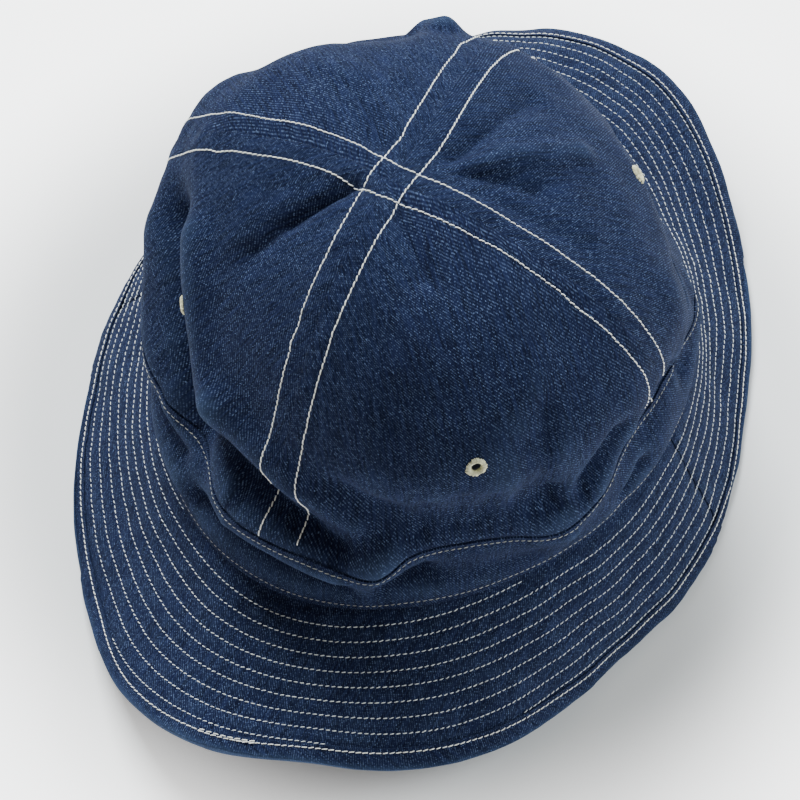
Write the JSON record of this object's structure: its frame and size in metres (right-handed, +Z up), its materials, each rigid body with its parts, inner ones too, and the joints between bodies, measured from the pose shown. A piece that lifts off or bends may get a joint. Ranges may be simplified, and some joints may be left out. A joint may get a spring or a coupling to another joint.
{
  "type": "army hat",
  "caption": "Soft blue denim field hat with a gored crown, stitched eyelets, a narrow side band and a row-stitched brim with a bound edge, resting on its brim.",
  "frame": {"origin": "on the floor, under the middle of the hat's bounding box", "axes": "+Z up, -Y to the front of the hat, +X to the right side of the hat as seen from behind it"},
  "size_m": [0.2378, 0.3192, 0.1621],
  "materials": {
    "denim": "washed indigo twill",
    "brim_denim": "washed indigo twill, row-stitched",
    "binding_denim": "folded indigo twill strip",
    "thread": "cream cotton thread"
  },
  "bodies": {
    "root": {"crown_gore_front_right": "denim", "crown_gore_front_left": "denim", "crown_gore_back_right": "denim", "crown_gore_back_left": "denim", "side_band": "denim", "brim_front": "brim_denim", "brim_back": "brim_denim", "brim_binding": "binding_denim", "eyelet_front_right": "thread", "eyelet_front_left": "thread", "eyelet_back_right": "thread", "eyelet_back_left": "thread"}
  },
  "joints": []
}
